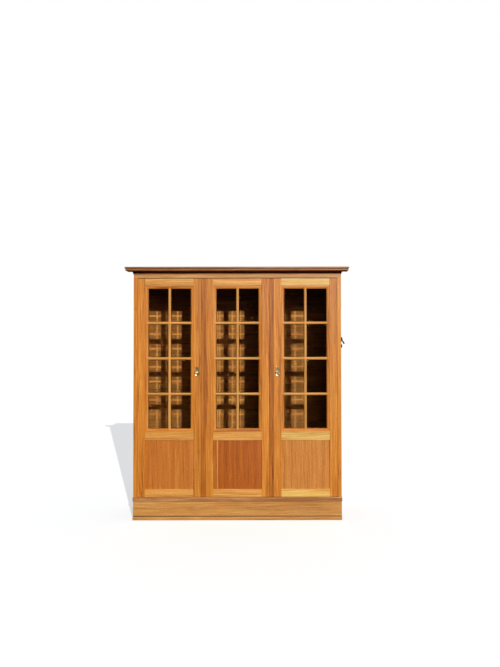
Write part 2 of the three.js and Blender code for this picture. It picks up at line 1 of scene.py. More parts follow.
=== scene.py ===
"""A free-standing oak bookcase with three tall glazed doors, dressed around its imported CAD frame.

Metres, +Z up, front towards -Y, the floor at z = 0. Places come from the frame's nodes.
"""

import math

import bmesh
import bpy
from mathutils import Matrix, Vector


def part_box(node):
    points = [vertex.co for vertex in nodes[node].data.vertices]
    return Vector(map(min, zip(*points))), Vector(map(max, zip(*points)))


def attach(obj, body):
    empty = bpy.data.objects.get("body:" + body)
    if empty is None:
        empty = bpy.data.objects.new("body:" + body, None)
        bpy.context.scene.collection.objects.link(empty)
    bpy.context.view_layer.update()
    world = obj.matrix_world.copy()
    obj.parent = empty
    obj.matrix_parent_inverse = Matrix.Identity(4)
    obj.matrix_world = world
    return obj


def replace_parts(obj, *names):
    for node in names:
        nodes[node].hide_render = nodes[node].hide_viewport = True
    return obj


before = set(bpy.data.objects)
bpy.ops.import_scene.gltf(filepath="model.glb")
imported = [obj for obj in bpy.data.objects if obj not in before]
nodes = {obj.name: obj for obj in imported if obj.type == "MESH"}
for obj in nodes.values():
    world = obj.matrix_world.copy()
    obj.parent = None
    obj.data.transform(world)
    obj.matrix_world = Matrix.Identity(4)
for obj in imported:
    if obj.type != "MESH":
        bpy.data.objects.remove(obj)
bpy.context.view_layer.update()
MM = 0.001

# Planes shared by many pieces
DOORS = ("left_door", "middle_door", "right_door")
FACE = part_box("left_side")[0].y
BODY_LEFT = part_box("left_side")[0].x
BODY_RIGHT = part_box("right_side")[1].x
ACROSS = Vector((1, 0, 0))
BACKWARD = Vector((0, 1, 0))
UP = Vector((0, 0, 1))

# Arrises: how far the sharp edges are broken
BOARD_ARRIS = 1.2 * MM
STILE_ARRIS = 2.0 * MM
RAIL_ARRIS = 1.0 * MM
METAL_ARRIS = 0.4 * MM
ARRIS_SEGMENTS = 2
ARRIS_ANGLE = 40  # degrees, edges sharper than this are broken
SMOOTH_ANGLE = 32  # degrees, edges sharper than this stay crisp

# Glazing: the moulding round each door's opening, the bars, and the panes behind them
MOULDING = 22 * MM
BAR = 19 * MM
COLUMNS = 2
ROWS = 4
OVOLO_WIDTH = 6 * MM
OVOLO_DEPTH = 6.5 * MM
OVOLO_STEP = 1.2 * MM
OVOLO_STEP_FALL = 0.6  # how deep the step is, as a share of its width
OVOLO_FACETS = 6
SIGHT_EDGE = 2.5 * MM  # square edge of a bar next to the glass
PANE_TUCK = 5 * MM  # glass hidden behind the bars
PANE_BEVEL = 16 * MM
PANE_BEVEL_DROP = 1.6 * MM
BEAD_GAP = 0.3 * MM
BEAD_DEPTH = 5 * MM
BEAD_SIGHT = 3 * MM  # bead shows this far beyond a bar, seen from inside
BEAD_SLOPE = 2 * MM
WELD = 0.01 * MM  # corners of the moulding closer than this become one

# Strip down the left side of the middle door's panel, and the sloping line along its inner edge, which
# faces the light and is painted lighter as a highlight
MARGIN_GAP = 0.3 * MM
MARGIN_WIDTH = 29 * MM
MARGIN_LINE = 5 * MM
MARGIN_THICKNESS = 2 * MM
MARGIN_LINE_THICKNESS = 0.4 * MM  # where the line ends

# The bevels gather the light that meets them into thin bright lines inside each patch of light
GATHER_INSETS = (43 * MM, 49 * MM)  # from the upright edges, from the level edges
GATHER_HALF = 5.5 * MM
GATHER_BLUR = 0.4  # share of a line's half width over which it fades, to either side
BEVEL_LIGHT = 10 * MM  # strip along each edge of a pane whose light goes to the lines
BEVEL_BLUR = 0.1
GLASS_PASS = 0.56  # share of the light that passes between the lines
GLASS_TINT = (0.93, 0.95, 0.94, 1.0)
GLASS_IOR = 1.45
GLASS_SPECULAR = 0.3

# Cornice, from the body's front plane outwards and from the slab's lower edge upwards
SLAB_HEIGHT = 28 * MM
COVE_START = 3 * MM
COVE_SPREAD = 9 * MM
COVE_FACETS = 6
NOSE_ROUND = 2.5 * MM
FILLET = 7 * MM
FILLET_SETBACK = 5 * MM  # the lower band of the slab stands this far behind the upper one
QUIRK = 2.5 * MM
QUIRK_FALL = 0.3  # rise of the quirk's lower face, as a share of its depth

# Plinth, from the body's front plane outwards
PLINTH_PROUD = 1 * MM
SHOE_HEIGHT = 28 * MM
SHOE_GROOVE = 5 * MM  # height of the groove over the shoe at the foot of the plinth
SHOE_GROOVE_DEPTH = 4 * MM
SHOE_ROUND = 2.5 * MM
GROOVE_SLACK = 0.1  # share of the groove's height by which its faces may lie outside it

# Back boards
BACK_BOARDS = 16
BACK_JOINT = 2 * MM  # chamfer on each side of a joint
BACK_CRACK = 0.2 * MM  # left open over each board

# Key plates, keys and screws
PLATE_RIM = 3.0 * MM
PLATE_RIM_WIDTH = 2.2 * MM
PLATE_CREST = (0.35, 0.7)  # flat top of the rim, as shares of its width
PLATE_OUTER_DROP = 0.9 * MM  # from the top of the rim to its outer edge
PLATE_INNER_DROP = 0.5 * MM
PLATE_DISH = 0.6 * MM
PLATE_DISH_RINGS = 6
PLATE_BACK = 0.3 * MM
PLATE_MIDDLE = 10 * MM  # the point inside the plate that its outline is drawn from
PLATE_POINTS = 96
EAR_ACROSS = 9 * MM
EAR_UP = 40 * MM
EAR_RADIUS = 6 * MM
EAR_SCREW_DROP = 0.5 * MM  # from an ear's centre down to its screw
NECK_HALF = 11 * MM
OVAL_HALF_WIDTH = 19 * MM
OVAL_HALF_HEIGHT = 26 * MM
KEYHOLE_RADIUS = 4.5 * MM
KEYHOLE_SLOT_HALF = 1.8 * MM
KEYHOLE_DROP = 10.5 * MM
KEY_STEM = (
    (-10.5 * MM, 2.0 * MM),
    (-9.6 * MM, 3.6 * MM),
    (-8.4 * MM, 3.6 * MM),
    (-7.6 * MM, 3.0 * MM),
    (-6.0 * MM, 3.0 * MM),
    (-5.6 * MM, 4.2 * MM),
    (-3.4 * MM, 4.2 * MM),
    (-3.1 * MM, 3.0 * MM),
    (36.4 * MM, 3.0 * MM),
    (37.0 * MM, 2.2 * MM),
)  # distance behind the doors' front plane, radius
BOW_POINTS = 40
BOW_ACROSS = 10.2 * MM
BOW_ALONG = 11.8 * MM
BOW_MIDDLE = -21.6 * MM
BOW_WIDTH = 2.8 * MM
BOW_THICKNESS = 1.8 * MM
BIT_REACH = 9 * MM
BIT_HALF = 1 * MM
BIT_DEPTH = (30.5 * MM, 34.5 * MM)
SCREW_RADIUS = 3.2 * MM
SCREW_SLOT = 0.5 * MM
SCREW_HEIGHT = 0.8 * MM
SCREW_PROFILE = ((0.0, 1.0), (0.6, 1.0), (1.0, 0.75))  # shares of the height and of the radius
SCREW_FLOOR = 0.25  # height of the slot's floor, as a share of the head's
SCREW_HALF_TURN = 12
ROUND_POINTS = 12  # round the section of a key's bow and of the bail
DOME_RINGS = 8
DOME_TIP = 0.02  # size of a dome's last ring, as a share of its foot

# Shelf pins
PIN_RADIUS = 3 * MM
PIN_REACH = 12 * MM
PIN_TIP = 1 * MM
PIN_TIP_RADIUS = 0.7  # share of the pin's radius
PIN_SUNK = 0.8 * MM
PIN_CLEARANCE = 0.1 * MM
PIN_PLACES = (0.15, 0.85)  # shares of a shelf's depth

# Drop handle
HANDLE_SETBACK = 70 * MM
HANDLE_HEIGHT = 1326 * MM
HANDLE_MIDDLE = Vector((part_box("side_handle_plate")[0].x, FACE + HANDLE_SETBACK, HANDLE_HEIGHT))
HANDLE_HALF_WIDTH = 13 * MM
HANDLE_HALF_HEIGHT = 46 * MM
HANDLE_THICKNESS = 3 * MM
HANDLE_EDGE = 1 * MM
HANDLE_EDGE_INSET = 1.2 * MM
HANDLE_SCREWS = (2 * MM, -8 * MM)  # over the handle's middle
KNUCKLE_HALF_WIDTH = 9.6 * MM
KNUCKLES = ((24 * MM, 19 * MM, 21 * MM), (-27 * MM, 17 * MM, 18 * MM))  # height, reach, half height
BAIL_RADIUS = 2.2 * MM  # at the ends, and BAIL_SWELL times that at the bottom
BAIL_SWELL = 2.2
BAIL_HALF = 13 * MM
BAIL_LENGTH = 38 * MM
BAIL_CORNER = 4 * MM
BAIL_FOOT = 8 * MM
BAIL_GAP = 4 * MM
BAIL_OUT = 10 * MM
BAIL_UP = 26 * MM
BAIL_LEAN = math.radians(30)

# Camera and light
CAMERA_DISTANCE = 4.2  # from the doors
CAMERA_ACROSS = 0.27
CAMERA_HEIGHT = 1.32
CAMERA_PITCH = math.radians(1.0)
CAMERA_ROLL = 0.0015
CAMERA_LENS = 30.2
CAMERA_SHIFT = 0.035
SUN_DIRECTION = Vector((-0.33, 1.0, -0.39))
SUN_STRENGTH = 3.1
SUN_ANGLE = math.radians(0.3)
SUN_COLOUR = (1.0, 0.97, 0.92)
WHITE = (1, 1, 1, 1)
FILL_STRENGTH = 0.32
FRONT_FADE = (0.3, 0.8)  # how far towards -Y the fill begins and ends to fade
FRONT_LEFT = 0.05
GROUND_FADE = (-0.15, 0.3)  # height of the direction the fill comes from
GROUND_LEFT = 0.04
FLOOR_COLOUR = (0.84, 0.87, 0.92, 1.0)
FLOOR_GLOW = 0.5
FLOOR_SIZE = 30
FLOOR_DROP = 0.4 * MM


# ---------------------------------------------------------------- node helpers


class Graph:
    """A node tree with short calls for adding and linking its nodes."""

    def __init__(self, tree):
        self.tree = tree

    def add(self, kind, inputs=None, **settings):
        node = self.tree.nodes.new(kind)
        for key, value in settings.items():
            setattr(node, key, value)
        for key, value in (inputs or {}).items():
            self.put(node.inputs[key], value)
        return node

    def put(self, socket, value):
        if isinstance(value, bpy.types.NodeSocket):
            self.tree.links.new(value, socket)
        else:
            socket.default_value = value

    def math(self, operation, *values):
        node = self.add("ShaderNodeMath", operation=operation)
        for socket, value in zip(node.inputs, values):
            self.put(socket, value)
        return node.outputs[0]

    def vector(self, operation, *values):
        node = self.add("ShaderNodeVectorMath", operation=operation)
        for socket, value in zip(node.inputs, values):
            self.put(socket, value)
        return node.outputs[0]

    def noise(self, vector, scale=1.0, detail=3.0, roughness=0.5):
        inputs = {"Vector": vector, "Scale": scale, "Detail": detail, "Roughness": roughness}
        return self.add("ShaderNodeTexNoise", inputs).outputs["Fac"]

    def ramp(self, value, low, high, to_low=0.0, to_high=1.0):
        """value from low to high mapped smoothly to to_low to to_high."""
        inputs = {"Value": value, 1: low, 2: high, 3: to_low, 4: to_high}
        node = self.add("ShaderNodeMapRange", inputs, interpolation_type="SMOOTHSTEP")
        return node.outputs[0]

    def mix(self, factor, first, second, blend="MIX"):
        node = self.add("ShaderNodeMix", data_type="RGBA", blend_type=blend)
        self.put(node.inputs["Factor"], factor)
        self.put(node.inputs[6], first)
        self.put(node.inputs[7], second)
        return node.outputs[2]

    def bump(self, height, distance, strength):
        inputs = {"Height": height, "Distance": distance, "Strength": strength}
        return self.add("ShaderNodeBump", inputs).outputs[0]


def new_material(name):
    material = bpy.data.materials.new(name)
    material.use_nodes = True
    material.node_tree.nodes.clear()
    return material, Graph(material.node_tree)


def rgb(red, green, blue):
    """An sRGB colour of 0 to 255 as linear values with alpha."""
    linear = [((c / 255 + 0.055) / 1.055) ** 2.4 if c > 10 else c / 255 / 12.92 for c in (red, green, blue)]
    return (*linear, 1.0)


def finish_surface(graph, base, roughness, normal, metallic=0.0, coat=0.0):
    inputs = {
        "Base Color": base,
        "Roughness": roughness,
        "Normal": normal,
        "Metallic": metallic,
        "Coat Weight": coat,
        "Coat Roughness": 0.3,
    }
    shader = graph.add("ShaderNodeBsdfPrincipled", inputs)
    graph.add("ShaderNodeOutputMaterial", {"Surface": shader.outputs[0]})


# ---------------------------------------------------------------- materials


def grain_group():
    """The figure of oak with its grain along Z: bands, growth rings, streaks, pores, flecks and cloud."""
    tree = bpy.data.node_groups.new("oak_figure", "ShaderNodeTree")
    tree.interface.new_socket("Vector", in_out="INPUT", socket_type="NodeSocketVector")
    for name in ("Bands", "Rings", "Streaks", "Pores", "Flecks", "Cloud"):
        tree.interface.new_socket(name, in_out="OUTPUT", socket_type="NodeSocketFloat")
    graph = Graph(tree)
    entry = graph.add("NodeGroupInput").outputs[0]
    leave = graph.add("NodeGroupOutput")

    wander = graph.add("ShaderNodeTexNoise", {"Vector": entry, "Scale": 1.7, "Detail": 2.0})
    drift = graph.vector("SUBTRACT", wander.outputs["Color"], (0.5, 0.5, 0.5))
    drift = graph.vector("MULTIPLY", drift, (0.035, 0.035, 0.0))
    place = graph.vector("ADD", entry, drift)

    def stretched(across, along):
        return graph.vector("MULTIPLY", place, (across, across, along))

    bands = graph.noise(stretched(34, 0.9), detail=3, roughness=0.55)
    wave = {
        "Vector": stretched(9, 0.55),
        "Scale": 3.4,
        "Distortion": 5.0,
        "Detail": 2.0,
        "Detail Scale": 0.8,
    }
    rings = graph.add("ShaderNodeTexWave", wave, bands_direction="DIAGONAL").outputs["Fac"]
    streaks = graph.noise(stretched(170, 3.0), detail=5, roughness=0.65)
    pores = graph.noise(stretched(1500, 42), detail=1, roughness=0.5)
    flecks = graph.noise(stretched(190, 60), detail=2, roughness=0.5)
    cloud = graph.noise(place, scale=2.2, detail=2)
    graph.put(leave.inputs["Bands"], graph.ramp(bands, 0.3, 0.7))
    graph.put(leave.inputs["Rings"], rings)
    graph.put(leave.inputs["Streaks"], graph.ramp(streaks, 0.3, 0.7))
    graph.put(leave.inputs["Pores"], graph.ramp(pores, 0.52, 0.68))
    graph.put(leave.inputs["Flecks"], graph.ramp(flecks, 0.6, 0.75))
    graph.put(leave.inputs["Cloud"], graph.ramp(cloud, 0.3, 0.7))
    return tree


FIGURE = grain_group()
STREAK_SHARE = 0.5
BAND_SHARE = 0.38
RING_SHARE = 0.12
FLECK_LIGHT = 0.18
CLOUD_SHARE = 0.4
CLOUD_TINT = (1.03, 0.84, 0.56, 1.0)
STREAK_HEIGHT = 0.3
PORE_HEIGHT = -0.8
ROUGHNESS_SPREAD = 0.12
TURNS = {"Z": (0.0, 0.0, 0.0), "X": (0.0, math.pi / 2, 0.0), "Y": (math.pi / 2, 0.0, 0.0)}
SCATTER = (7.0, 11.0, 17.0)  # moves each board to its own part of the figure


def wood(
    name,
    tones,
    along="Z",
    gloss=0.42,
    coat=0.05,
    variety=0.1,
    pore=0.3,
    contrast=1.15,
    boards=False,
    inside=None,
):
    """Waxed oak with its grain along one axis of the bookcase. The tones are sRGB, dark to light, 0 to 255.

    With boards, each separate board of one piece gets its own tone and figure. Faces that look the way
    inside points are painted dark, a painted shade that stands in for the shade inside the bookcase."""
    dark, middle, light = tones
    material, graph = new_material(name)
    coordinates = graph.add("ShaderNodeTexCoord").outputs
    place = coordinates["Object"]
    if boards:
        chance = graph.add("ShaderNodeNewGeometry").outputs["Random Per Island"]
    else:
        chance = graph.add("ShaderNodeObjectInfo").outputs["Random"]
    spot = graph.add("ShaderNodeCombineXYZ", {0: chance, 1: chance, 2: chance}).outputs[0]
    shifted = graph.vector("ADD", place, graph.vector("MULTIPLY", spot, SCATTER))
    turn = {"Vector": shifted, "Rotation": TURNS[along]}
    turned = graph.add("ShaderNodeMapping", turn, vector_type="POINT")
    figure = graph.add("ShaderNodeGroup", node_tree=FIGURE)
    graph.put(figure.inputs[0], turned.outputs[0])
    bands, rings, streaks, pores, flecks, cloud = figure.outputs[:6]

    tone = graph.math("MULTIPLY_ADD", streaks, STREAK_SHARE, graph.math("MULTIPLY", bands, BAND_SHARE))
    tone = graph.math("MULTIPLY_ADD", rings, RING_SHARE, tone)
    tone = graph.math("MULTIPLY_ADD", graph.math("SUBTRACT", tone, 0.5), contrast, 0.5)
    lower = graph.mix(graph.ramp(tone, 0.0, 0.5), rgb(*dark), rgb(*middle))
    base = graph.mix(graph.ramp(tone, 0.5, 1.0), lower, rgb(*light))
    base = graph.mix(graph.math("MULTIPLY", flecks, FLECK_LIGHT), base, rgb(*light))
    orange = graph.mix(1.0, base, CLOUD_TINT, "MULTIPLY")
    base = graph.mix(graph.math("MULTIPLY", cloud, CLOUD_SHARE), base, orange)
    shade = graph.math("MULTIPLY_ADD", chance, variety, 1.0 - variety / 2)
    grey = graph.add("ShaderNodeCombineColor", {0: shade, 1: shade, 2: shade}).outputs[0]
    base = graph.mix(1.0, base, grey, "MULTIPLY")
    base = graph.mix(graph.math("MULTIPLY", pores, pore), base, rgb(*[c * 0.5 for c in dark]))

    # Painted shade: faces that look the way inside points keep only a small share of their colour, for the
    # shade inside the bookcase
    if inside:
        facing = {0: coordinates["Normal"], 1: inside}
        inward = graph.add("ShaderNodeVectorMath", facing, operation="DOT_PRODUCT").outputs["Value"]
        painted_shade = graph.mix(1.0, base, (INSIDE_PAINTED_SHADE, INSIDE_PAINTED_SHADE, INSIDE_PAINTED_SHADE, 1.0), "MULTIPLY")
        base = graph.mix(graph.ramp(inward, 0.5, 0.9), base, painted_shade)

    sunk = graph.math("MULTIPLY", pores, PORE_HEIGHT)
    height = graph.math("MULTIPLY_ADD", streaks, STREAK_HEIGHT, sunk)
    rough = graph.math("MULTIPLY_ADD", streaks, ROUGHNESS_SPREAD, gloss - ROUGHNESS_SPREAD / 2)
    rough = graph.math("MULTIPLY_ADD", pores, ROUGHNESS_SPREAD, rough)
    finish_surface(graph, base, rough, graph.bump(height, 0.0003, 0.5), coat=coat)
    return material


PATCH_SCALE = 90.0
PATCH_ROUGHNESS = 0.15


def metal(name, bright, dull, roughness, bump=0.0001):
    """Aged metal: a bright ground with dull patches. The tones are sRGB, 0 to 255."""
    material, graph = new_material(name)
    place = graph.add("ShaderNodeTexCoord").outputs["Object"]
    patches = graph.noise(place, scale=PATCH_SCALE, detail=4, roughness=0.6)
    fine = graph.noise(place, scale=PATCH_SCALE * 12, detail=2)
    mask = graph.ramp(patches, 0.42, 0.66)
    base = graph.mix(mask, rgb(*bright), rgb(*dull))
    rough = graph.math("MULTIPLY_ADD", mask, PATCH_ROUGHNESS, roughness)
    normal = graph.bump(graph.math("ADD", fine, patches), bump, 0.4)
    finish_surface(graph, base, rough, normal, metallic=1.0)
    return material


def inside_edge(graph, distance, half):
    """How far inside the edge of a pane a point is, from its distance to the pane's middle line."""
    return graph.math("SUBTRACT", half, graph.math("ABSOLUTE", distance))


def glass_material(name, pane_width, pane_height):
    """Clear glass. Rays to the lamp and diffuse rays pass straight through, refracting nothing.

    They carry a pattern that stands for the bevels: dark along a pane's edges, with the lines of light
    that the bevels gather. It imitates them and isn't traced through the glass."""
    material, graph = new_material(name)
    inputs = {
        "Base Color": GLASS_TINT,
        "Roughness": 0.0,
        "IOR": GLASS_IOR,
        "Transmission Weight": 1.0,
        "Specular IOR Level": GLASS_SPECULAR,
    }
    clear = graph.add("ShaderNodeBsdfPrincipled", inputs)
    pane_map = graph.add("ShaderNodeUVMap", uv_map="pane").outputs[0]
    spot = graph.add("ShaderNodeSeparateXYZ", {0: pane_map})
    inward = [inside_edge(graph, spot.outputs["X"], pane_width / 2)]
    inward.append(inside_edge(graph, spot.outputs["Y"], pane_height / 2))
    lines = []
    for distance, inset in zip(inward, GATHER_INSETS):
        off_line = graph.math("ABSOLUTE", graph.math("SUBTRACT", distance, inset))
        core = GATHER_HALF * (1 - GATHER_BLUR)
        fringe = GATHER_HALF * (1 + GATHER_BLUR)
        lines.append(graph.ramp(off_line, core, fringe, 1.0, 0.0))
    passed = graph.math("MULTIPLY_ADD", graph.math("MAXIMUM", *lines), 1.0 - GLASS_PASS, GLASS_PASS)
    nearest = graph.math("MINIMUM", *inward)
    off_bevel = graph.ramp(nearest, BEVEL_LIGHT * (1 - BEVEL_BLUR), BEVEL_LIGHT * (1 + BEVEL_BLUR))
    passed = graph.math("MULTIPLY", passed, off_bevel)
    tint = graph.add("ShaderNodeCombineColor", {0: passed, 1: passed, 2: passed}).outputs[0]
    through = graph.add("ShaderNodeBsdfTransparent", {"Color": tint})
    path = graph.add("ShaderNodeLightPath")
    straight = graph.math("MAXIMUM", path.outputs["Is Shadow Ray"], path.outputs["Is Diffuse Ray"])
    mixed = graph.add("ShaderNodeMixShader", {0: straight})
    graph.put(mixed.inputs[1], clear.outputs[0])
    graph.put(mixed.inputs[2], through.outputs[0])
    graph.add("ShaderNodeOutputMaterial", {"Surface": mixed.outputs[0]})
    return material


def pane_size(door):
    low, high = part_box(f"{door}_glazing_bars")
    width = (high.x - low.x - 2 * MOULDING - (COLUMNS - 1) * BAR) / COLUMNS
    height = (high.z - low.z - 2 * MOULDING - (ROWS - 1) * BAR) / ROWS
    return width, height


STILE_TONES = ((167, 86, 17), (220, 137, 43), (249, 172, 67))
RAIL_TONES = ((188, 118, 43), (231, 163, 76), (255, 198, 113))
# Painted light: the right door's rails are paler, standing in for the brighter light on the right of the
# bookcase
PAINTED_LIGHT_RAIL_TONES = ((200, 143, 60), (246, 195, 103), (255, 237, 151))
PANEL_TONES = ((169, 93, 27), (211, 125, 44), (236, 153, 65))
DARK_PANEL_TONES = ((150, 72, 8), (190, 98, 18), (220, 125, 31))
PALE_PANEL_TONES = ((172, 101, 38), (213, 139, 62), (237, 166, 89))
STRIP_TONES = ((136, 70, 9), (187, 108, 25), (217, 137, 39))
PLINTH_TONES = ((160, 101, 38), (214, 150, 75), (247, 188, 110))
CORNICE_TONES = ((119, 71, 33), (173, 113, 61), (212, 156, 101))
FRIEZE_TONES = ((158, 97, 44), (203, 142, 76), (228, 180, 116))
# Painted shade: the inner boards, shelves and door stops are near black for the shade inside the bookcase;
# the groove in the plinth takes the same colour
PAINTED_SHADE_INNER_TONES = ((30, 16, 8), (48, 28, 13), (64, 38, 20))
BACK_TONES = ((182, 112, 42), (231, 152, 64), (248, 178, 82))
INSIDE_PAINTED_SHADE = 0.12  # painted shade: share of the colour left on faces that look into the bookcase

MATERIALS = {
    "stile": wood("oak_upright", STILE_TONES, inside=BACKWARD),
    "left_side": wood("oak_left_side", STILE_TONES, inside=ACROSS),
    "right_side": wood("oak_right_side", STILE_TONES, inside=-ACROSS),
    "rail": wood("oak_rail", RAIL_TONES, along="X", inside=BACKWARD),
    "painted_light_rail": wood("painted_light_oak_rail", PAINTED_LIGHT_RAIL_TONES, along="X", inside=BACKWARD),
    "bar": wood("oak_bar_upright", RAIL_TONES, inside=BACKWARD),
    "left_door_panel": wood("oak_panel", PANEL_TONES, pore=0.4, contrast=0.9, inside=BACKWARD),
    "middle_door_panel": wood("dark_oak_panel", DARK_PANEL_TONES, pore=0.4, contrast=0.9, inside=BACKWARD),
    "right_door_panel": wood("pale_oak_panel", PALE_PANEL_TONES, pore=0.4, contrast=0.9, inside=BACKWARD),
    "margin": wood("oak_margin", STRIP_TONES, inside=BACKWARD),
    "edge_rail": wood("oak_moulding", STILE_TONES, along="X", inside=BACKWARD),
    "strip": wood("oak_strip", STRIP_TONES),
    "plinth": wood("oak_plinth", PLINTH_TONES, along="X", gloss=0.5, contrast=0.9),
    "plinth_side": wood("oak_plinth_side", PLINTH_TONES, along="Y", gloss=0.5),
    "cornice": wood("oak_cornice", CORNICE_TONES, along="X", gloss=0.46),
    "frieze": wood("oak_frieze", FRIEZE_TONES, along="X", inside=-UP),
    "inner": wood("inner_board", PAINTED_SHADE_INNER_TONES, gloss=0.6, coat=0.0),
    "shelf": wood("shelf_board", PAINTED_SHADE_INNER_TONES, along="X", gloss=0.6, coat=0.0),
    "back": wood(
        "back_board", BACK_TONES, along="X", gloss=0.65, coat=0.0, variety=0.2, contrast=1.2, boards=True
    ),
    "brass": metal("aged_brass", (240, 222, 178), (168, 134, 84), 0.3),
    # Painted shade: the pivots sit in the gaps over and under the doors, and their brass is darkened to
    # read as the shade in those gaps
    "pivot": metal("gap_shade_brass", (96, 74, 44), (54, 40, 24), 0.5),
    "steel": metal("dull_steel", (168, 164, 156), (110, 104, 96), 0.34),
    "iron": metal("blackened_iron", (40, 34, 30), (24, 16, 10), 0.5, bump=0.0003),
    "glass": glass_material("clear_glass", *pane_size("middle_door")),
}


# ---------------------------------------------------------------- mesh helpers


def dress(obj, *looks):
    """Gives a bare object its materials."""
    for look in looks:
        obj.data.materials.append(MATERIALS[look])
    return obj


def dress_node(node, look):
    """Gives a CAD node its material in place of the one it came with."""
    nodes[node].data.materials.clear()
    return dress(nodes[node], look)


def soften(obj, width):
    """Breaks the sharp arrises of a piece."""
    bevel = obj.modifiers.new("arris", "BEVEL")
    bevel.width = width
    bevel.segments = ARRIS_SEGMENTS
    bevel.limit_method = "ANGLE"
    bevel.angle_limit = math.radians(ARRIS_ANGLE)
    return obj


def made(name, mesh, body, *looks, smooth=True):
    """Turns a bmesh into a piece that rides on a body."""
    data = bpy.data.meshes.new(name)
    bmesh.ops.recalc_face_normals(mesh, faces=mesh.faces)
    mesh.to_mesh(data)
    mesh.free()
    if smooth:
        data.polygons.foreach_set("use_smooth", [True] * len(data.polygons))
        data.set_sharp_from_angle(angle=math.radians(SMOOTH_ANGLE))
    obj = bpy.data.objects.new(name, data)
    bpy.context.scene.collection.objects.link(obj)
    dress(obj, *looks)
    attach(obj, body)
    return obj


def skin(mesh, rings, looped=False):
    """Joins rings of the same number of points in order.

    With looped, the last ring joins the first; otherwise both ends are closed with a face."""
    rows = [[mesh.verts.new(point) for point in ring] for ring in rings]
    count = len(rows[0])
    pairs = list(zip(rows, rows[1:]))
    if looped:
        pairs.append((rows[-1], rows[0]))
    for lower, upper in pairs:
        for i in range(count):
            j = (i + 1) % count
            mesh.faces.new((lower[i], lower[j], upper[j], upper[i]))
    if not looped:
        mesh.faces.new(list(reversed(rows[0])))
        mesh.faces.new(rows[-1])


def add_box(mesh, low, high, origin, axes):
    """A box between two corners, counted from an origin along three axes."""

    def ring(z):
        corners = ((low[0], low[1]), (high[0], low[1]), (high[0], high[1]), (low[0], high[1]))
        return [origin + axes[0] * x + axes[1] * y + axes[2] * z for x, y in corners]

    skin(mesh, [ring(low[2]), ring(high[2])])


def add_turned(mesh, origin, axes, profile, count=32):
    """A round or oval turning, with axes (along, u, v).

    The profile holds (distance along, half size in u, half size in v)."""
    along, u, v = axes
    angles = [2 * math.pi * i / count for i in range(count)]
    rings = []
    for distance, half_u, half_v in profile:
        centre = origin + along * distance
        rings.append([centre + u * half_u * math.cos(a) + v * half_v * math.sin(a) for a in angles])
    skin(mesh, rings)


def add_dome(mesh, origin, axes, reach, half_u, half_v):
    """Half an ellipsoid standing on a plane."""
    profile = []
    for i in range(DOME_RINGS):
        angle = math.pi / 2 * i / DOME_RINGS
        profile.append((reach * math.sin(angle), half_u * math.cos(angle), half_v * math.cos(angle)))
    profile.append((reach, half_u * DOME_TIP, half_v * DOME_TIP))
    add_turned(mesh, origin, axes, profile)


def add_screw(mesh, place, outward, u, v):
    """The two halves of a slotted screw's low head, and the floor of its slot."""
    for side in (1, -1):
        rings = []
        for height_share, radius_share in SCREW_PROFILE:
            centre = place + outward * SCREW_HEIGHT * height_share
            radius = SCREW_RADIUS * radius_share
            slot_angle = math.asin(SCREW_SLOT / radius)
            sweep = math.pi - 2 * slot_angle
            ring = []
            for i in range(SCREW_HALF_TURN + 1):
                angle = slot_angle + sweep * i / SCREW_HALF_TURN
                ring.append(centre + u * radius * math.cos(angle) + v * side * radius * math.sin(angle))
            rings.append(ring)
        skin(mesh, rings)
    half_length = SCREW_RADIUS * math.cos(math.asin(SCREW_SLOT / SCREW_RADIUS))
    low = (0, -half_length, -SCREW_SLOT)
    high = (SCREW_HEIGHT * SCREW_FLOOR, half_length, SCREW_SLOT)
    add_box(mesh, low, high, place, (outward, u, v))


def arc(centre, radius, start, end, count):
    """Points of a circular arc as pairs, angles in degrees."""
    angles = [math.radians(start + (end - start) * i / count) for i in range(count + 1)]
    return [(centre[0] + radius * math.cos(a), centre[1] + radius * math.sin(a)) for a in angles]


# ---------------------------------------------------------------- carcass


def dress_carcass():
    looks = {
        "left_side": "left_side",
        "right_side": "right_side",
        "top_board": "frieze",
        "partition": "inner",
        "plinth_back": "plinth",
        "left_fixed_shelf": "shelf",
        "right_fixed_shelf": "shelf",
        "left_loose_shelf": "shelf",
        "right_loose_shelf": "shelf",
        "left_door_stop": "shelf",
        "right_door_stop": "shelf",
        "base_board": "cornice",
    }
    for node, look in looks.items():
        soften(dress_node(node, look), BOARD_ARRIS)


def make_cornice():
    low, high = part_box("cornice")
    slab = high.z - SLAB_HEIGHT
    edge = BODY_LEFT - low.x
    profile = []
    for i in range(COVE_FACETS + 1):
        t = i / COVE_FACETS
        profile.append((COVE_START + COVE_SPREAD * t * t, low.z + (slab - low.z) * t))
    band = edge - FILLET_SETBACK
    profile += arc((band - NOSE_ROUND, slab + NOSE_ROUND), NOSE_ROUND, -90, 0, 4)
    fillet_top = slab + NOSE_ROUND + FILLET
    profile.append((band, fillet_top))
    profile.append((band - QUIRK, fillet_top + QUIRK_FALL * QUIRK))
    profile.append((band - QUIRK, fillet_top + QUIRK))
    thumb = (high.z - fillet_top - QUIRK) / 2
    profile += arc((edge - thumb, high.z - thumb), thumb, -90, 90, 12)
    mesh = bmesh.new()
    rings = []
    for proud, z in profile:
        left = BODY_LEFT - proud
        right = BODY_RIGHT + proud
        front = FACE - proud
        rings.append([(left, front, z), (right, front, z), (right, high.y, z), (left, high.y, z)])
    skin(mesh, rings)
    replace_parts(made("moulded_cornice", mesh, "carcass", "cornice"), "cornice")


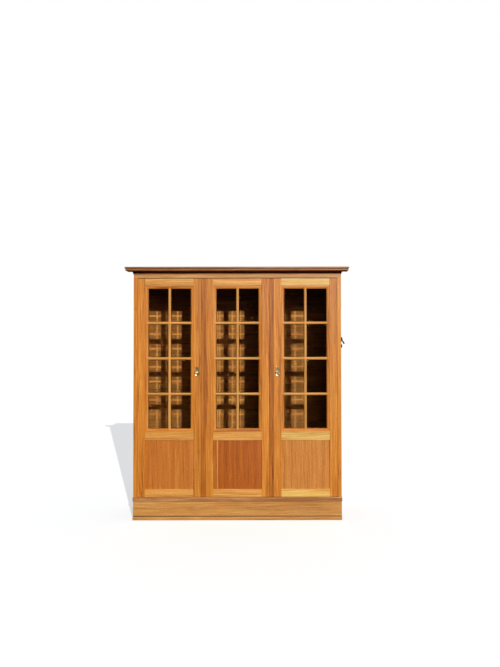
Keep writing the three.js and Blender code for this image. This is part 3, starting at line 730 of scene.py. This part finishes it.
def make_plinth():
    """Three plinth boards, mitred at the front corners. A dark groove sets off a shoe at the foot."""
    low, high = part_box("plinth_front")
    shoe_proud = FACE - low.y
    inner = FACE - high.y
    groove = PLINTH_PROUD - SHOE_GROOVE_DEPTH
    profile = [(inner, low.z), (shoe_proud - BOARD_ARRIS, low.z), (shoe_proud, low.z + BOARD_ARRIS)]
    profile += arc((shoe_proud - SHOE_ROUND, SHOE_HEIGHT - SHOE_ROUND), SHOE_ROUND, 0, 90, 5)
    groove_top = SHOE_HEIGHT + SHOE_GROOVE
    profile += [(groove, SHOE_HEIGHT), (groove, groove_top), (PLINTH_PROUD, groove_top)]
    profile += [(PLINTH_PROUD, high.z - BOARD_ARRIS), (PLINTH_PROUD - BOARD_ARRIS, high.z), (inner, high.z)]
    left = [Vector((BODY_LEFT - proud, FACE - proud, z)) for proud, z in profile]
    right = [Vector((BODY_RIGHT + proud, FACE - proud, z)) for proud, z in profile]
    runs = [("plinth_front", "plinth", left, right)]
    for side, corner in (("left", left), ("right", right)):
        node = f"plinth_{side}"
        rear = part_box(node)[1].y
        runs.append((node, "plinth_side", corner, [(point.x, rear, point.z) for point in corner]))
    for node, look, start, end in runs:
        mesh = bmesh.new()
        skin(mesh, [start, end])
        for face in mesh.faces:
            height = face.calc_center_median().z - SHOE_HEIGHT
            if -GROOVE_SLACK * SHOE_GROOVE < height < (1 + GROOVE_SLACK) * SHOE_GROOVE:
                face.material_index = 1
        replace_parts(made(f"{node}_board", mesh, "carcass", look, "shelf"), node)


def make_back_boards():
    low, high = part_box("back_panel")
    pitch = (high.z - low.z) / BACK_BOARDS
    mesh = bmesh.new()
    for i in range(BACK_BOARDS):
        bottom = low.z + i * pitch
        top = bottom + pitch
        middle = (low.y + high.y) / 2
        crown = top - BACK_CRACK
        outline = [
            (low.y, bottom + BACK_JOINT),
            (low.y + BACK_JOINT, bottom),
            (middle, bottom),
            (high.y - BACK_JOINT, bottom),
            (high.y, bottom + BACK_JOINT),
            (high.y, top - BACK_JOINT),
            (high.y - BACK_JOINT, crown),
            (middle, crown),
            (low.y + BACK_JOINT, crown),
            (low.y, top - BACK_JOINT),
        ]
        skin(mesh, [[(x, y, z) for y, z in outline] for x in (low.x, high.x)])
    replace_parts(made("matched_back_boards", mesh, "carcass", "back", smooth=False), "back_panel")


def make_shelf_pins():
    """Four pins under each loose shelf, standing out of the sides and the partition."""
    mesh = bmesh.new()
    for side in ("left", "right"):
        low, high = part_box(f"{side}_loose_shelf")
        tip = PIN_RADIUS * PIN_TIP_RADIUS
        profile = [(0, PIN_RADIUS, PIN_RADIUS), (PIN_REACH - PIN_TIP, PIN_RADIUS, PIN_RADIUS)]
        profile.append((PIN_REACH, tip, tip))
        for share in PIN_PLACES:
            y = low.y + (high.y - low.y) * share
            for x, inward in ((low.x, 1), (high.x, -1)):
                wall = Vector((x - inward * PIN_SUNK, y, low.z - PIN_RADIUS - PIN_CLEARANCE))
                add_turned(mesh, wall, (ACROSS * inward, BACKWARD, UP), profile, 16)
    made("shelf_pins", mesh, "carcass", "brass")


# ---------------------------------------------------------------- doors


def panes(door):
    """For each pane: the corners of its opening, and of the cell up to the middle of the bars around it."""
    low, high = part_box(f"{door}_glazing_bars")
    width, height = pane_size(door)
    for column in range(COLUMNS):
        for row in range(ROWS):
            x = low.x + MOULDING + column * (width + BAR)
            z = low.z + MOULDING + row * (height + BAR)
            left = low.x if column == 0 else x - BAR / 2
            right = high.x if column == COLUMNS - 1 else x + width + BAR / 2
            bottom = low.z if row == 0 else z - BAR / 2
            top = high.z if row == ROWS - 1 else z + height + BAR / 2
            yield ((x, x + width), (z, z + height)), ((left, right), (bottom, top))


def rectangle(across, heights, grow, y):
    """The four corners of a rectangle grown by a distance on every side."""
    x0, x1 = across[0] - grow, across[1] + grow
    z0, z1 = heights[0] - grow, heights[1] + grow
    return [(x0, y, z0), (x1, y, z0), (x1, y, z1), (x0, y, z1)]


def add_lattice(mesh, door, profile):
    """Moulding round every pane, mitred at its corners.

    The profile holds (distance from the pane, y), front first. The piece's materials are those of a
    level bar, an upright bar, a level edge and an upright edge."""
    low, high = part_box(f"{door}_glazing_bars")
    for opening, cell in panes(door):
        rings = [rectangle(*cell, 0, profile[0][1])]
        rings += [rectangle(*opening, grow, y) for grow, y in profile]
        rings.append(rectangle(*cell, 0, profile[-1][1]))
        rows = [[mesh.verts.new(point) for point in ring] for ring in rings]
        outer = (cell[1][0] == low.z, cell[0][1] == high.x, cell[1][1] == high.z, cell[0][0] == low.x)
        pairs = list(zip(rows, rows[1:]))
        for side in range(4):
            after = (side + 1) % 4
            closing = [(rows[0], rows[-1])] if outer[side] else []
            for lower, upper in pairs + closing:
                face = mesh.faces.new((lower[side], lower[after], upper[after], upper[side]))
                face.material_index = side % 2 + (2 if outer[side] else 0)


def make_lattice(door):
    low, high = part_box(f"{door}_glazing_bars")
    step = OVOLO_STEP
    shoulder = high.y - SIGHT_EDGE
    profile = [(OVOLO_WIDTH + 2 * step, low.y), (OVOLO_WIDTH + step, low.y + step * OVOLO_STEP_FALL)]
    profile.append((OVOLO_WIDTH, shoulder - OVOLO_DEPTH))
    for i in range(1, OVOLO_FACETS + 1):
        angle = math.pi / 2 * (1 - i / OVOLO_FACETS)
        profile.append((OVOLO_WIDTH * (1 - math.cos(angle)), shoulder - OVOLO_DEPTH * math.sin(angle)))
    profile.append((0, high.y))
    mesh = bmesh.new()
    add_lattice(mesh, door, profile)
    glass_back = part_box(f"{door}_glass")[1].y
    bead = glass_back + BEAD_GAP
    bead_profile = [
        (-BEAD_SIGHT, bead),
        (-BEAD_SIGHT, bead + BEAD_DEPTH - BEAD_SLOPE),
        (-BEAD_SIGHT + BEAD_SLOPE, bead + BEAD_DEPTH),
    ]
    add_lattice(mesh, door, bead_profile)
    bmesh.ops.remove_doubles(mesh, verts=mesh.verts, dist=WELD)
    piece = made(f"{door}_moulded_bars", mesh, door, "rail", "bar", "edge_rail", "stile")
    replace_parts(piece, f"{door}_glazing_bars")


def make_panes(door):
    """Eight panes, bevelled on the front.

    Their map counts metres from the middle of each pane's opening."""
    low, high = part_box(f"{door}_glass")
    mesh = bmesh.new()
    pane_map = mesh.loops.layers.uv.new("pane")
    for opening, _ in panes(door):
        first = len(mesh.faces)
        rings = [
            rectangle(*opening, PANE_TUCK - PANE_BEVEL, low.y),
            rectangle(*opening, PANE_TUCK, low.y + PANE_BEVEL_DROP),
            rectangle(*opening, PANE_TUCK, high.y),
        ]
        skin(mesh, rings)
        mesh.faces.ensure_lookup_table()
        middle_x = sum(opening[0]) / 2
        middle_z = sum(opening[1]) / 2
        for face in mesh.faces[first:]:
            for loop in face.loops:
                loop[pane_map].uv = (loop.vert.co.x - middle_x, loop.vert.co.z - middle_z)
    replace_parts(made(f"{door}_bevelled_panes", mesh, door, "glass", smooth=False), f"{door}_glass")


def dress_door(door):
    for side in ("left", "right"):
        soften(dress_node(f"{door}_{side}_stile", "stile"), STILE_ARRIS)
    # Painted light: the right door's rails take the paler tone, for the brighter light on the right
    rail_look = "painted_light_rail" if door == "right_door" else "rail"
    for rail in ("top", "lock", "bottom"):
        soften(dress_node(f"{door}_{rail}_rail", rail_look), RAIL_ARRIS)
    soften(dress_node(f"{door}_panel", f"{door}_panel"), METAL_ARRIS)
    for pivot in ("top", "bottom"):
        soften(dress_node(f"{door}_{pivot}_pivot", "pivot"), METAL_ARRIS)
    if f"{door}_closing_strip" in nodes:
        soften(dress_node(f"{door}_closing_strip", "strip"), STILE_ARRIS)


def make_margin():
    """A dark strip down the left side of the middle panel. Along its inner edge runs a sloping line that
    faces the light and is also painted lighter: a painted highlight.
    """
    low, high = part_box("middle_door_panel")
    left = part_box("middle_door_left_stile")[1].x + MARGIN_GAP
    back = low.y - MARGIN_GAP
    front = back - MARGIN_THICKNESS
    outline = [
        (left, back),
        (left, front),
        (left + MARGIN_WIDTH, front),
        (left + MARGIN_WIDTH + MARGIN_LINE, back - MARGIN_LINE_THICKNESS),
        (left + MARGIN_WIDTH + MARGIN_LINE, back),
    ]
    mesh = bmesh.new()
    skin(mesh, [[(x, y, z) for x, y in outline] for z in (low.z + MARGIN_GAP, high.z - MARGIN_GAP)])
    # Painted highlight: the sloping line takes the lighter bar colour, on top of facing the light
    for face in mesh.faces:
        if face.calc_center_median().x > left + MARGIN_WIDTH:
            face.material_index = 1
    made("middle_panel_margin", mesh, "middle_door", "margin", "bar", smooth=False)


# ---------------------------------------------------------------- locks


def box_exit(direction, low, high):
    """How far a ray from the origin goes inside a rectangle that holds the origin."""
    reach = math.inf
    for part, near, far in zip(direction, low, high):
        if abs(part) > 1e-9:
            reach = min(reach, (far if part > 0 else near) / part)
    return reach


def circle_exit(direction, centre, radius):
    """How far a ray from the origin goes before it leaves a circle for good; 0 if it misses."""
    along = direction[0] * centre[0] + direction[1] * centre[1]
    gap = centre[0] ** 2 + centre[1] ** 2 - along ** 2
    if gap > radius ** 2:
        return 0.0
    return along + math.sqrt(radius ** 2 - gap)


def plate_outline(angle):
    """Distance from the plate's middle point to its edge: an oval, a neck and two round ears."""
    direction = (math.cos(angle), math.sin(angle))
    squeezed = (direction[0] / OVAL_HALF_WIDTH, direction[1] / OVAL_HALF_HEIGHT)
    square = squeezed[0] ** 2 + squeezed[1] ** 2
    lift = PLATE_MIDDLE / OVAL_HALF_HEIGHT
    half_b = squeezed[1] * lift
    oval = (-half_b + math.sqrt(half_b ** 2 - square * (lift ** 2 - 1))) / square
    neck = box_exit(direction, (-NECK_HALF, -PLATE_MIDDLE), (NECK_HALF, EAR_UP - PLATE_MIDDLE))
    ear_up = EAR_UP - PLATE_MIDDLE
    ears = [circle_exit(direction, (side * EAR_ACROSS, ear_up), EAR_RADIUS) for side in (-1, 1)]
    return max(oval, neck, *ears)


def keyhole_outline(angle):
    """Distance from the key's axis to the edge of the keyhole: a circle over a slot."""
    direction = (math.cos(angle), math.sin(angle))
    slot = box_exit(direction, (-KEYHOLE_SLOT_HALF, -KEYHOLE_DROP), (KEYHOLE_SLOT_HALF, KEYHOLE_RADIUS))
    return max(KEYHOLE_RADIUS, slot)


def make_key_plate(door, axis):
    """A dished brass plate with a raised rim, pierced by the keyhole, with a screw in each ear."""
    angles = [2 * math.pi * i / PLATE_POINTS for i in range(PLATE_POINTS)]
    middle = Vector((axis.x, FACE, axis.z + PLATE_MIDDLE))

    def edge(inset, proud):
        ring = []
        for angle in angles:
            reach = plate_outline(angle) - inset
            ring.append(middle + Vector((reach * math.cos(angle), -proud, reach * math.sin(angle))))
        return ring

    def hole(proud):
        ring = []
        for angle in angles:
            reach = keyhole_outline(angle)
            x = axis.x + reach * math.cos(angle)
            z = axis.z + reach * math.sin(angle)
            ring.append(Vector((x, FACE - proud, z)))
        return ring

    rim = edge(PLATE_RIM_WIDTH, PLATE_RIM - PLATE_INNER_DROP)
    centre = hole(PLATE_DISH + PLATE_BACK)
    rings = [hole(PLATE_BACK), edge(0, PLATE_BACK), edge(0, PLATE_RIM - PLATE_OUTER_DROP)]
    rings += [edge(share * PLATE_RIM_WIDTH, PLATE_RIM) for share in PLATE_CREST]
    rings.append(rim)
    for i in range(1, PLATE_DISH_RINGS):
        t = i / PLATE_DISH_RINGS
        ring = []
        for outer, inner in zip(rim, centre):
            point = outer.lerp(inner, t)
            point.y = inner.y + (outer.y - inner.y) * (1 - t) ** 2
            ring.append(point)
        rings.append(ring)
    rings.append(centre)
    mesh = bmesh.new()
    skin(mesh, rings, looped=True)
    front = FACE - PLATE_RIM + PLATE_OUTER_DROP
    for side in (-1, 1):
        place = Vector((axis.x + side * EAR_ACROSS, front, axis.z + EAR_UP - EAR_SCREW_DROP))
        along_slot = (ACROSS + UP * side).normalized()
        across_slot = (UP - ACROSS * side).normalized()
        add_screw(mesh, place, -BACKWARD, along_slot, across_slot)
    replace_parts(made(f"{door}_dished_key_plate", mesh, door, "brass"), f"{door}_key_plate")


def make_key(door, axis, bit):
    """A key with a round-section bow, a collared stem and its bit; bit is the way the bit points."""
    side = bit.cross(BACKWARD)
    mesh = bmesh.new()
    rings = []
    for i in range(BOW_POINTS):
        turn = 2 * math.pi * i / BOW_POINTS
        back = BOW_MIDDLE + BOW_ALONG * math.sin(turn)
        centre = axis + bit * BOW_ACROSS * math.cos(turn) + BACKWARD * back
        outward = (bit * BOW_ALONG * math.cos(turn) + BACKWARD * BOW_ACROSS * math.sin(turn)).normalized()
        ring = []
        for j in range(ROUND_POINTS):
            swing = 2 * math.pi * j / ROUND_POINTS
            reach = outward * BOW_WIDTH * math.cos(swing)
            ring.append(centre + reach + side * BOW_THICKNESS * math.sin(swing))
        rings.append(ring)
    skin(mesh, rings, looped=True)
    profile = [(along, radius, radius) for along, radius in KEY_STEM]
    add_turned(mesh, axis, (BACKWARD, bit, side), profile)
    low = (0, -BIT_HALF, BIT_DEPTH[0])
    add_box(mesh, low, (BIT_REACH, BIT_HALF, BIT_DEPTH[1]), axis, (bit, side, BACKWARD))
    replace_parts(made(f"{door}_brass_key", mesh, f"{door}_key", "brass"), f"{door}_key")


def make_lock(door, sign):
    """sign is 1 where the bolt shoots to the right."""
    low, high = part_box(f"{door}_key")
    axis = Vector(((low.x + high.x) / 2, FACE, (low.z + high.z) / 2))
    make_key_plate(door, axis)
    make_key(door, axis, Vector((-sign, 0, sign)).normalized())
    for part, look in (("lock_case", "steel"), ("lock_bolt", "brass")):
        soften(dress_node(f"{door}_{part}", look), METAL_ARRIS)
    low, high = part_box(f"{door}_lock_case")
    inset = 3 * SCREW_RADIUS
    mesh = bmesh.new()
    for x in (low.x + inset, high.x - inset):
        for z in (low.z + inset, high.z - inset):
            add_screw(mesh, Vector((x, high.y, z)), BACKWARD, ACROSS, UP)
    made(f"{door}_lock_screws", mesh, door, "steel")


# ---------------------------------------------------------------- drop handle


def make_handle_plate():
    """A round-ended plate with a knuckle above for the bail and a boss below it."""
    mesh = bmesh.new()
    straight = HANDLE_HALF_HEIGHT - HANDLE_HALF_WIDTH

    def ring(out, inset):
        points = []
        radius = HANDLE_HALF_WIDTH - inset
        for centre, start in ((straight, 0), (-straight, 180)):
            points += arc((0, centre), radius, start, start + 180, 16)
        return [HANDLE_MIDDLE + ACROSS * out + BACKWARD * y + UP * z for y, z in points]

    shoulder = HANDLE_THICKNESS - HANDLE_EDGE
    skin(mesh, [ring(0, 0), ring(shoulder, 0), ring(HANDLE_THICKNESS, HANDLE_EDGE_INSET)])
    axes = (ACROSS, BACKWARD, UP)
    for place, reach, half_height in KNUCKLES:
        add_dome(mesh, HANDLE_MIDDLE + UP * place, axes, reach, KNUCKLE_HALF_WIDTH, half_height)
    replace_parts(made("iron_handle_plate", mesh, "carcass", "iron"), "side_handle_plate")
    screws = bmesh.new()
    for height in HANDLE_SCREWS:
        add_screw(screws, HANDLE_MIDDLE + ACROSS * HANDLE_THICKNESS + UP * height, *axes)
    made("handle_screws", screws, "carcass", "iron")


def make_bail():
    """A bent wire that hangs from the knuckle, its two ends turned in."""
    outward = ACROSS * math.sin(BAIL_LEAN) - UP * math.cos(BAIL_LEAN)
    side = BACKWARD.cross(outward)
    pivot = HANDLE_MIDDLE + ACROSS * BAIL_OUT + UP * BAIL_UP
    quarter = arc((BAIL_HALF - BAIL_CORNER, BAIL_CORNER), BAIL_CORNER, -90, 0, 6)
    foot = arc((BAIL_HALF - BAIL_FOOT, BAIL_LENGTH - BAIL_FOOT), BAIL_FOOT, 0, 90, 8)
    half = [(BAIL_GAP / 2, 0.0)] + quarter + foot
    route = half + [(-y, s) for y, s in reversed(half)]
    rings = []
    for i, (y, s) in enumerate(route):
        before = route[max(i - 1, 0)]
        after = route[min(i + 1, len(route) - 1)]
        way = (BACKWARD * (after[0] - before[0]) + outward * (after[1] - before[1])).normalized()
        across = way.cross(side)
        centre = pivot + BACKWARD * y + outward * s
        radius = BAIL_RADIUS * (1 + (BAIL_SWELL - 1) * (s / BAIL_LENGTH) ** 2)
        ring = []
        for j in range(ROUND_POINTS):
            swing = 2 * math.pi * j / ROUND_POINTS
            ring.append(centre + (across * math.cos(swing) + side * math.sin(swing)) * radius)
        rings.append(ring)
    mesh = bmesh.new()
    skin(mesh, rings)
    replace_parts(made("iron_bail", mesh, "side_handle_bail", "iron"), "side_handle_bail")


dress_carcass()
make_cornice()
make_plinth()
make_back_boards()
make_shelf_pins()
for door_name in DOORS:
    dress_door(door_name)
    make_lattice(door_name)
    make_panes(door_name)
make_margin()
make_lock("left_door", 1)
make_lock("right_door", -1)
make_handle_plate()
make_bail()


# ---------------------------------------------------------------- stage


def add_floor():
    mesh = bmesh.new()
    bmesh.ops.create_grid(mesh, x_segments=1, y_segments=1, size=FLOOR_SIZE)
    data = bpy.data.meshes.new("floor")
    mesh.to_mesh(data)
    mesh.free()
    floor = bpy.data.objects.new("floor", data)
    floor.location.z = -FLOOR_DROP
    bpy.context.scene.collection.objects.link(floor)
    material, graph = new_material("pale_floor")
    inputs = {
        "Base Color": FLOOR_COLOUR,
        "Roughness": 0.9,
        "Emission Color": WHITE,
        "Emission Strength": FLOOR_GLOW,
    }
    shader = graph.add("ShaderNodeBsdfPrincipled", inputs)
    graph.add("ShaderNodeOutputMaterial", {"Surface": shader.outputs[0]})
    data.materials.append(material)
    for kind in ("diffuse", "glossy", "transmission", "shadow"):
        setattr(floor, f"visible_{kind}", False)


def add_light():
    sun = bpy.data.lights.new("sun", "SUN")
    sun.energy = SUN_STRENGTH
    sun.angle = SUN_ANGLE
    sun.color = SUN_COLOUR
    # Otherwise the sun, met by chance through the glass, is noise
    sun.cycles.use_multiple_importance_sampling = False
    lamp = bpy.data.objects.new("sun", sun)
    lamp.rotation_mode = "QUATERNION"
    lamp.rotation_quaternion = SUN_DIRECTION.to_track_quat("-Z", "Y")
    bpy.context.scene.collection.objects.link(lamp)

    world = bpy.data.worlds.new("studio")
    bpy.context.scene.world = world
    # The dim fill is met by chance, so that each sample aims at the sun
    world.cycles.sampling_method = "NONE"
    world.use_nodes = True
    world.node_tree.nodes.clear()
    graph = Graph(world.node_tree)
    direction = graph.add("ShaderNodeTexCoord").outputs["Generated"]
    toward = graph.add("ShaderNodeSeparateXYZ", {0: direction}).outputs
    dim = graph.ramp(graph.math("MULTIPLY", toward["Y"], -1.0), *FRONT_FADE, 1.0, FRONT_LEFT)
    from_above = graph.ramp(toward["Z"], *GROUND_FADE, GROUND_LEFT, 1.0)
    strength = graph.math("MULTIPLY", graph.math("MULTIPLY", dim, from_above), FILL_STRENGTH)
    fill = graph.add("ShaderNodeBackground", {"Color": WHITE, "Strength": strength})
    white = graph.add("ShaderNodeBackground", {"Color": WHITE, "Strength": 1.0})
    path = graph.add("ShaderNodeLightPath")
    mixed = graph.add("ShaderNodeMixShader", {0: path.outputs["Is Camera Ray"]})
    graph.put(mixed.inputs[1], fill.outputs[0])
    graph.put(mixed.inputs[2], white.outputs[0])
    graph.add("ShaderNodeOutputWorld", {"Surface": mixed.outputs[0]})


def add_camera():
    camera = bpy.data.cameras.new("camera")
    camera.lens = CAMERA_LENS
    camera.shift_x = -CAMERA_SHIFT
    holder = bpy.data.objects.new("camera", camera)
    holder.location = (CAMERA_ACROSS, FACE - CAMERA_DISTANCE, CAMERA_HEIGHT)
    holder.rotation_euler = (math.pi / 2 + CAMERA_PITCH, CAMERA_ROLL, 0)
    bpy.context.scene.collection.objects.link(holder)
    bpy.context.scene.camera = holder


add_floor()
add_light()
add_camera()
bpy.context.scene.view_settings.view_transform = "Standard"
